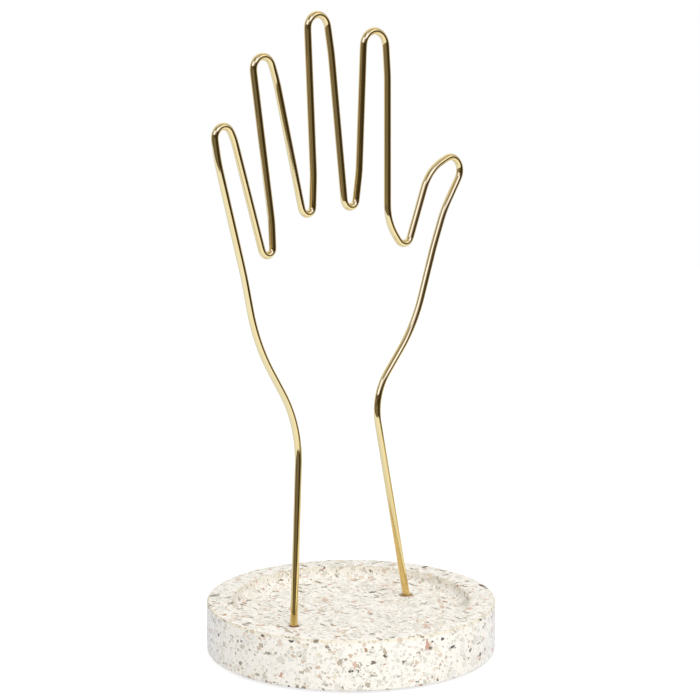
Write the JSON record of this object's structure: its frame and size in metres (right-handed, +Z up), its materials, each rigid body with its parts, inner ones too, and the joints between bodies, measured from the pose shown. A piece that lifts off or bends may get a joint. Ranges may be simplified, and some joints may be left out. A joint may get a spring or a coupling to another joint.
{
  "type": "hand jewelry holder",
  "caption": "Wire outline of an open hand standing in a round terrazzo dish, for rings, bracelets and chains",
  "frame": {"origin": "middle of the flat face that the holder rests on, on the axis of the round base", "axes": "+Z up; the flat hand faces -Y with its thumb towards +X, and leans back 5.5 degrees about the line through its feet, which lies along X"},
  "size_m": [0.1422, 0.12, 0.2642],
  "materials": {
    "terrazzo": "honed cream terrazzo with small pink, tan and grey chips",
    "polished_brass": "polished",
    "set_glue": "set amber brown glue",
    "foam_pad": "matte grey foam"
  },
  "bodies": {
    "root": {"terrazzo_base": "terrazzo", "hand_wire": "polished_brass", "left_leg_glue": "set_glue", "right_leg_glue": "set_glue", "base_pad": "foam_pad"}
  },
  "joints": []
}
